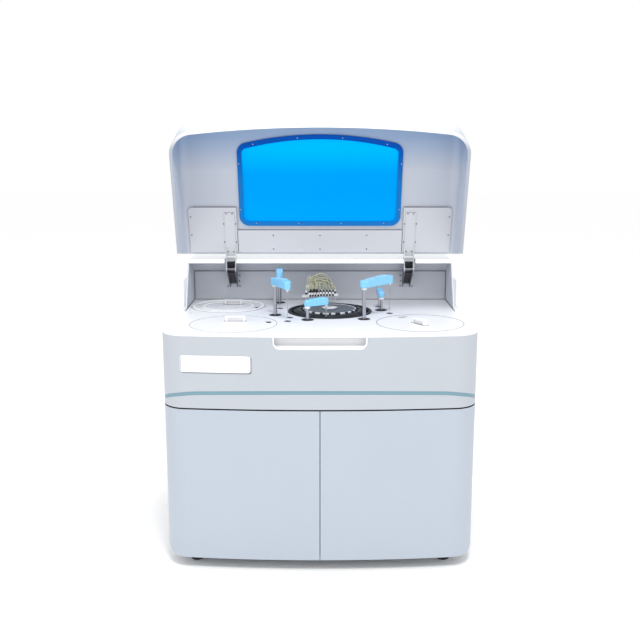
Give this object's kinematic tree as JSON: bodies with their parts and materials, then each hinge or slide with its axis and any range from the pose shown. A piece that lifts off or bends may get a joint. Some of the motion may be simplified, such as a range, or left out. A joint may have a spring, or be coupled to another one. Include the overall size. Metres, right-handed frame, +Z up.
{
  "type": "floor-standing chemistry analyzer",
  "caption": "Floor-standing chemistry analyzer with a hinged windowed lid, turning reagent, sample and reaction trays, swinging probe arms and a two-door cabinet.",
  "frame": {"origin": "centre of the footprint on the floor", "axes": "+Z up, -Y towards the front with the doors, +X to the viewer's right when facing the front"},
  "size_m": [1.2, 0.86, 1.7472],
  "materials": {
    "shell_white": "satin",
    "panel_grey": "satin",
    "door_paint": "satin",
    "deck_white": "satin",
    "stripe_teal": "satin",
    "plate_white": "gloss",
    "frame_steel": "satin",
    "dark_steel": "satin",
    "bright_steel": "polished",
    "lid_sheet": "satin",
    "arm_blue": "gloss",
    "window_blue": "gloss",
    "frame_blue": "gloss",
    "black_plastic": "matte",
    "grey_plastic": "matte",
    "clear_tube": "gloss",
    "bottle_plastic": "satin",
    "tank_plastic": "satin",
    "pump_metal": "satin",
    "foot_rubber": "matte"
  },
  "bodies": {
    "cabinet": {"base_frame": "frame_steel", "levelling_feet": "foot_rubber", "left_side_panel": "panel_grey", "right_side_panel": "panel_grey", "rear_panel": "panel_grey", "front_fascia": "shell_white", "fascia_stripe": "stripe_teal", "nameplate": "plate_white", "work_deck": "deck_white", "wash_pots": "bright_steel", "reagent_well_front": "grey_plastic", "reagent_well_rear": "grey_plastic", "sample_well": "grey_plastic", "reaction_bath": "dark_steel", "wash_column": "bright_steel", "rear_housing": "shell_white", "hinge_brackets": "dark_steel", "water_tank": "tank_plastic", "waste_tank": "tank_plastic", "vacuum_pump": "pump_metal", "power_supply": "pump_metal", "power_inlet": "black_plastic"},
    "lid": {"lid_shell": "shell_white", "lid_window": "window_blue", "window_frame": "frame_blue", "lid_side_plates": "lid_sheet", "lid_centre_plate": "lid_sheet", "hinge_arms": "lid_sheet"},
    "left_door": {"left_door": "door_paint"},
    "right_door": {"right_door": "door_paint"},
    "reagent_cover_front": {"reagent_cover_front": "deck_white"},
    "reagent_cover_rear": {"reagent_cover_rear": "deck_white"},
    "sample_cover": {"sample_cover": "deck_white"},
    "reagent_turntable_front": {"reagent_tray_front": "grey_plastic", "reagent_bottles_front": "bottle_plastic"},
    "reagent_turntable_rear": {"reagent_tray_rear": "grey_plastic", "reagent_bottles_rear": "bottle_plastic"},
    "sample_turntable": {"sample_tray": "grey_plastic", "sample_tubes": "clear_tube"},
    "reaction_carousel": {"cuvette_ring": "black_plastic", "reaction_disk": "grey_plastic", "disk_hub": "deck_white"},
    "reagent_arm_front_turn": {"reagent_arm_front_bush": "black_plastic"},
    "reagent_arm_front": {"reagent_arm_front_shaft": "bright_steel", "reagent_arm_front_cover": "arm_blue"},
    "reagent_arm_rear_turn": {"reagent_arm_rear_bush": "black_plastic"},
    "reagent_arm_rear": {"reagent_arm_rear_shaft": "bright_steel", "reagent_arm_rear_cover": "arm_blue"},
    "sample_arm_turn": {"sample_arm_bush": "black_plastic"},
    "sample_arm": {"sample_arm_shaft": "bright_steel", "sample_arm_cover": "arm_blue"},
    "mixer_front_turn": {"mixer_front_bush": "black_plastic"},
    "mixer_front": {"mixer_front_shaft": "bright_steel", "mixer_front_cover": "arm_blue"},
    "mixer_rear_turn": {"mixer_rear_bush": "black_plastic"},
    "mixer_rear": {"mixer_rear_shaft": "bright_steel", "mixer_rear_cover": "arm_blue"},
    "wash_station": {"wash_head": "black_plastic", "wash_tubes": "clear_tube"},
    "power_switch": {"power_switch": "black_plastic"}
  },
  "joints": [
    {"name": "lid_hinge", "type": "hinge", "parent": "cabinet", "child": "lid", "pos_m": [0, 0.25903, 1.085], "axis": [-1, 0, 0], "range_deg": [-73.3, 0]},
    {"name": "left_door_hinge", "type": "hinge", "parent": "cabinet", "child": "left_door", "pos_m": [-0.591, -0.284, 0.3], "axis": [0, 0, -1], "range_deg": [0, 105]},
    {"name": "right_door_hinge", "type": "hinge", "parent": "cabinet", "child": "right_door", "pos_m": [0.591, -0.284, 0.3], "axis": [0, 0, 1], "range_deg": [0, 105]},
    {"name": "reagent_cover_front_lift", "type": "slide", "parent": "cabinet", "child": "reagent_cover_front", "axis": [0, 0, 1], "range_m": [0, 0.06]},
    {"name": "reagent_cover_rear_lift", "type": "slide", "parent": "cabinet", "child": "reagent_cover_rear", "axis": [0, 0, 1], "range_m": [0, 0.06]},
    {"name": "sample_cover_lift", "type": "slide", "parent": "cabinet", "child": "sample_cover", "axis": [0, 0, 1], "range_m": [0, 0.06]},
    {"name": "reagent_turntable_front_spin", "type": "hinge", "parent": "cabinet", "child": "reagent_turntable_front", "pos_m": [-0.34099, -0.19599, 0.931], "axis": [0, 0, 1], "continuous": true},
    {"name": "reagent_turntable_rear_spin", "type": "hinge", "parent": "cabinet", "child": "reagent_turntable_rear", "pos_m": [-0.39999, 0.19496, 0.931], "axis": [0, 0, 1], "continuous": true},
    {"name": "sample_turntable_spin", "type": "hinge", "parent": "cabinet", "child": "sample_turntable", "pos_m": [0.39603, -0.17802, 0.931], "axis": [0, 0, 1], "continuous": true},
    {"name": "reaction_carousel_spin", "type": "hinge", "parent": "cabinet", "child": "reaction_carousel", "pos_m": [0.04102, 0.07998, 0.931], "axis": [0, 0, 1], "continuous": true},
    {"name": "reagent_arm_front_swing", "type": "hinge", "parent": "cabinet", "child": "reagent_arm_front_turn", "pos_m": [-0.18499, -0.01402, 0.931], "axis": [0, 0, 1], "range_deg": [-29.9, 51.2]},
    {"name": "reagent_arm_front_lift", "type": "slide", "parent": "reagent_arm_front_turn", "child": "reagent_arm_front", "axis": [0, 0, 1], "range_m": [-0.055, 0]},
    {"name": "reagent_arm_rear_swing", "type": "hinge", "parent": "cabinet", "child": "reagent_arm_rear_turn", "pos_m": [-0.18, 0.28604, 0.931], "axis": [0, 0, 1], "range_deg": [-40.9, 32.7]},
    {"name": "reagent_arm_rear_lift", "type": "slide", "parent": "reagent_arm_rear_turn", "child": "reagent_arm_rear", "axis": [0, 0, 1], "range_m": [-0.055, 0]},
    {"name": "sample_arm_swing", "type": "hinge", "parent": "cabinet", "child": "sample_arm_turn", "pos_m": [0.17802, -0.10002, 0.931], "axis": [0, 0, 1], "range_deg": [-31.2, 35.1]},
    {"name": "sample_arm_lift", "type": "slide", "parent": "sample_arm_turn", "child": "sample_arm", "axis": [0, 0, 1], "range_m": [-0.055, 0]},
    {"name": "mixer_front_swing", "type": "hinge", "parent": "cabinet", "child": "mixer_front_turn", "pos_m": [-0.04997, -0.11601, 0.931], "axis": [0, 0, 1], "range_deg": [0, 124]},
    {"name": "mixer_front_lift", "type": "slide", "parent": "mixer_front_turn", "child": "mixer_front", "axis": [0, 0, 1], "range_m": [-0.022, 0]},
    {"name": "mixer_rear_swing", "type": "hinge", "parent": "cabinet", "child": "mixer_rear_turn", "pos_m": [0.26101, 0.10096, 0.931], "axis": [0, 0, 1], "range_deg": [0, 55.4]},
    {"name": "mixer_rear_lift", "type": "slide", "parent": "mixer_rear_turn", "child": "mixer_rear", "axis": [0, 0, 1], "range_m": [-0.022, 0]},
    {"name": "wash_station_lift", "type": "slide", "parent": "cabinet", "child": "wash_station", "axis": [0, 0, 1], "range_m": [-0.02, 0]},
    {"name": "power_switch_rock", "type": "hinge", "parent": "cabinet", "child": "power_switch", "pos_m": [-0.37696, 0.422, 0.18], "axis": [1, 0, 0], "range_deg": [-8, 8]}
  ]
}
